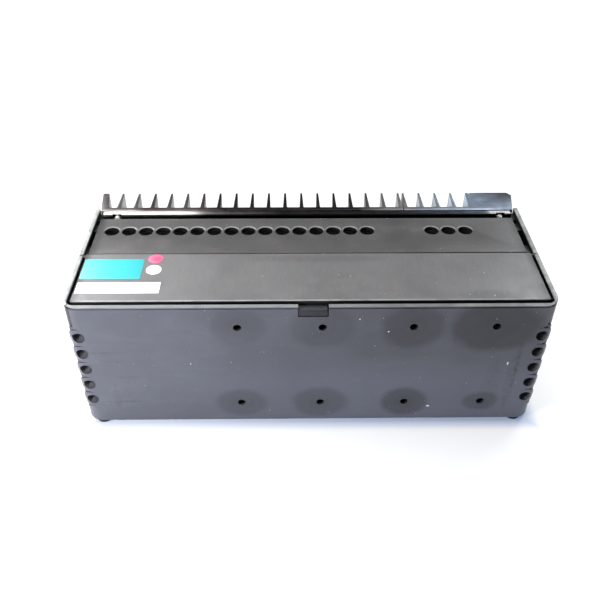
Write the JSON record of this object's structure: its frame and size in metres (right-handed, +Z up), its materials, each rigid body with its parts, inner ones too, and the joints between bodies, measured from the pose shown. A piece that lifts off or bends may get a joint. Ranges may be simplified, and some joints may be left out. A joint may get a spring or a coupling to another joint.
{
  "type": "servo drive",
  "caption": "Low wide servo drive case with a hinged service lid, a terminal cover with screwdriver holes and a finned heat sink across the back.",
  "frame": {"origin": "under the middle of the drive, on the plane of the feet", "axes": "+Z up, +X to the right seen from the front, front face towards -Y, heat sink towards +Y"},
  "size_m": [0.2466, 0.1082, 0.0845],
  "materials": {
    "case_plastic": "fine satin grain, charcoal",
    "cover_plastic": "satin, faint vertical drag marks, dusty",
    "sink_aluminium": "extruded, sawn ends",
    "bright_aluminium": "bright milled edge",
    "screw_steel": "zinc plated",
    "terminal_plastic": "black moulded",
    "board_laminate": "green solder mask",
    "capacitor_sleeve": "dark blue shrink sleeve",
    "core_steel": "varnished laminations",
    "copper_winding": "enamelled copper wire",
    "device_epoxy": "moulded epoxy",
    "fuse_glass": "clear tube, plated caps",
    "switch_plastic": "blue moulded",
    "marker_plastic": "off-white moulded",
    "foot_rubber": "matte"
  },
  "bodies": {
    "housing": {"case_shell": "case_plastic", "bottom_cover": "case_plastic", "chassis_plate": "bright_aluminium", "heat_sink_left": "sink_aluminium", "heat_sink_right": "sink_aluminium", "clamp_screw_left": "screw_steel", "clamp_screw_right": "screw_steel", "signal_terminal_block": "terminal_plastic", "output_terminal_block": "terminal_plastic", "power_board": "board_laminate", "control_board": "board_laminate", "board_standoff_1": "screw_steel", "board_standoff_2": "screw_steel", "board_standoff_3": "screw_steel", "board_standoff_4": "screw_steel", "bus_capacitor_1": "capacitor_sleeve", "bus_capacitor_2": "capacitor_sleeve", "bus_capacitor_3": "capacitor_sleeve", "supply_transformer": "core_steel", "output_choke": "copper_winding", "power_module": "device_epoxy", "bridge_rectifier": "device_epoxy", "fuse_holder": "device_epoxy", "fuse": "fuse_glass", "dip_switch": "switch_plastic", "trimmer_row": "switch_plastic", "foot_front_left": "foot_rubber", "foot_front_right": "foot_rubber", "foot_back_left": "foot_rubber", "foot_back_right": "foot_rubber"},
    "lid": {"service_lid": "cover_plastic"},
    "latch": {"lid_latch": "case_plastic"},
    "panel": {"terminal_panel": "cover_plastic"},
    "terminal_screw_01": {"terminal_screw_01": "screw_steel"},
    "terminal_screw_02": {"terminal_screw_02": "screw_steel"},
    "terminal_screw_03": {"terminal_screw_03": "screw_steel"},
    "terminal_screw_04": {"terminal_screw_04": "screw_steel"},
    "terminal_screw_05": {"terminal_screw_05": "screw_steel"},
    "terminal_screw_06": {"terminal_screw_06": "screw_steel"},
    "terminal_screw_07": {"terminal_screw_07": "screw_steel"},
    "terminal_screw_08": {"terminal_screw_08": "screw_steel"},
    "terminal_screw_09": {"terminal_screw_09": "screw_steel"},
    "terminal_screw_10": {"terminal_screw_10": "screw_steel"},
    "terminal_screw_11": {"terminal_screw_11": "screw_steel"},
    "terminal_screw_12": {"terminal_screw_12": "screw_steel"},
    "terminal_screw_13": {"terminal_screw_13": "screw_steel"},
    "terminal_screw_14": {"terminal_screw_14": "screw_steel"},
    "terminal_screw_15": {"terminal_screw_15": "screw_steel"},
    "terminal_screw_16": {"terminal_screw_16": "screw_steel"},
    "terminal_screw_17": {"terminal_screw_17": "screw_steel"},
    "terminal_screw_18": {"terminal_screw_18": "screw_steel"},
    "terminal_screw_19": {"terminal_screw_19": "screw_steel"},
    "dip_slider_1": {"dip_slider_1": "marker_plastic"},
    "dip_slider_2": {"dip_slider_2": "marker_plastic"},
    "dip_slider_3": {"dip_slider_3": "marker_plastic"},
    "dip_slider_4": {"dip_slider_4": "marker_plastic"},
    "trimmer_rotor_1": {"trimmer_rotor_1": "marker_plastic"},
    "trimmer_rotor_2": {"trimmer_rotor_2": "marker_plastic"},
    "trimmer_rotor_3": {"trimmer_rotor_3": "marker_plastic"}
  },
  "joints": [
    {"name": "lid_hinge", "type": "hinge", "parent": "housing", "child": "lid", "pos_m": [0, -0.01035, 0.08325], "axis": [-1, 0, 0], "range_deg": [0, 90]},
    {"name": "latch_press", "type": "slide", "parent": "lid", "child": "latch", "axis": [0, 1, 0], "range_m": [0, 0.0012], "stiffness_N_per_m": 100, "springref_m": -0.001},
    {"name": "panel_lift", "type": "slide", "parent": "housing", "child": "panel", "axis": [0, 0, 1], "range_m": [0, 0.03]},
    {"name": "terminal_screw_01_turn", "type": "hinge", "parent": "housing", "child": "terminal_screw_01", "pos_m": [-0.10975, 0.0126, 0.0755], "axis": [0, 0, 1], "range_deg": [0, 1170]},
    {"name": "terminal_screw_02_turn", "type": "hinge", "parent": "housing", "child": "terminal_screw_02", "pos_m": [-0.10025, 0.0126, 0.0755], "axis": [0, 0, 1], "range_deg": [0, 1170]},
    {"name": "terminal_screw_03_turn", "type": "hinge", "parent": "housing", "child": "terminal_screw_03", "pos_m": [-0.09075, 0.0126, 0.0755], "axis": [0, 0, 1], "range_deg": [0, 1170]},
    {"name": "terminal_screw_04_turn", "type": "hinge", "parent": "housing", "child": "terminal_screw_04", "pos_m": [-0.08125, 0.0126, 0.0755], "axis": [0, 0, 1], "range_deg": [0, 1170]},
    {"name": "terminal_screw_05_turn", "type": "hinge", "parent": "housing", "child": "terminal_screw_05", "pos_m": [-0.07175, 0.0126, 0.0755], "axis": [0, 0, 1], "range_deg": [0, 1170]},
    {"name": "terminal_screw_06_turn", "type": "hinge", "parent": "housing", "child": "terminal_screw_06", "pos_m": [-0.06225, 0.0126, 0.0755], "axis": [0, 0, 1], "range_deg": [0, 1170]},
    {"name": "terminal_screw_07_turn", "type": "hinge", "parent": "housing", "child": "terminal_screw_07", "pos_m": [-0.05275, 0.0126, 0.0755], "axis": [0, 0, 1], "range_deg": [0, 1170]},
    {"name": "terminal_screw_08_turn", "type": "hinge", "parent": "housing", "child": "terminal_screw_08", "pos_m": [-0.04325, 0.0126, 0.0755], "axis": [0, 0, 1], "range_deg": [0, 1170]},
    {"name": "terminal_screw_09_turn", "type": "hinge", "parent": "housing", "child": "terminal_screw_09", "pos_m": [-0.03375, 0.0126, 0.0755], "axis": [0, 0, 1], "range_deg": [0, 1170]},
    {"name": "terminal_screw_10_turn", "type": "hinge", "parent": "housing", "child": "terminal_screw_10", "pos_m": [-0.02425, 0.0126, 0.0755], "axis": [0, 0, 1], "range_deg": [0, 1170]},
    {"name": "terminal_screw_11_turn", "type": "hinge", "parent": "housing", "child": "terminal_screw_11", "pos_m": [-0.01475, 0.0126, 0.0755], "axis": [0, 0, 1], "range_deg": [0, 1170]},
    {"name": "terminal_screw_12_turn", "type": "hinge", "parent": "housing", "child": "terminal_screw_12", "pos_m": [-0.00525, 0.0126, 0.0755], "axis": [0, 0, 1], "range_deg": [0, 1170]},
    {"name": "terminal_screw_13_turn", "type": "hinge", "parent": "housing", "child": "terminal_screw_13", "pos_m": [0.00425, 0.0126, 0.0755], "axis": [0, 0, 1], "range_deg": [0, 1170]},
    {"name": "terminal_screw_14_turn", "type": "hinge", "parent": "housing", "child": "terminal_screw_14", "pos_m": [0.01375, 0.0126, 0.0755], "axis": [0, 0, 1], "range_deg": [0, 1170]},
    {"name": "terminal_screw_15_turn", "type": "hinge", "parent": "housing", "child": "terminal_screw_15", "pos_m": [0.02325, 0.0126, 0.0755], "axis": [0, 0, 1], "range_deg": [0, 1170]},
    {"name": "terminal_screw_16_turn", "type": "hinge", "parent": "housing", "child": "terminal_screw_16", "pos_m": [0.03275, 0.0126, 0.0755], "axis": [0, 0, 1], "range_deg": [0, 1170]},
    {"name": "terminal_screw_17_turn", "type": "hinge", "parent": "housing", "child": "terminal_screw_17", "pos_m": [0.069, 0.0126, 0.0755], "axis": [0, 0, 1], "range_deg": [0, 1170]},
    {"name": "terminal_screw_18_turn", "type": "hinge", "parent": "housing", "child": "terminal_screw_18", "pos_m": [0.0785, 0.0126, 0.0755], "axis": [0, 0, 1], "range_deg": [0, 1170]},
    {"name": "terminal_screw_19_turn", "type": "hinge", "parent": "housing", "child": "terminal_screw_19", "pos_m": [0.088, 0.0126, 0.0755], "axis": [0, 0, 1], "range_deg": [0, 1170]},
    {"name": "dip_slider_1_slide", "type": "slide", "parent": "housing", "child": "dip_slider_1", "axis": [0, 1, 0], "range_m": [0, 0.0016]},
    {"name": "dip_slider_2_slide", "type": "slide", "parent": "housing", "child": "dip_slider_2", "axis": [0, 1, 0], "range_m": [0, 0.0016]},
    {"name": "dip_slider_3_slide", "type": "slide", "parent": "housing", "child": "dip_slider_3", "axis": [0, 1, 0], "range_m": [0, 0.0016]},
    {"name": "dip_slider_4_slide", "type": "slide", "parent": "housing", "child": "dip_slider_4", "axis": [0, 1, 0], "range_m": [0, 0.0016]},
    {"name": "trimmer_rotor_1_turn", "type": "hinge", "parent": "housing", "child": "trimmer_rotor_1", "pos_m": [-0.018, -0.0281, 0.066], "axis": [0, 0, 1], "range_deg": [-135, 135]},
    {"name": "trimmer_rotor_2_turn", "type": "hinge", "parent": "housing", "child": "trimmer_rotor_2", "pos_m": [-0.002, -0.0281, 0.066], "axis": [0, 0, 1], "range_deg": [-135, 135]},
    {"name": "trimmer_rotor_3_turn", "type": "hinge", "parent": "housing", "child": "trimmer_rotor_3", "pos_m": [0.014, -0.0281, 0.066], "axis": [0, 0, 1], "range_deg": [-135, 135]}
  ]
}
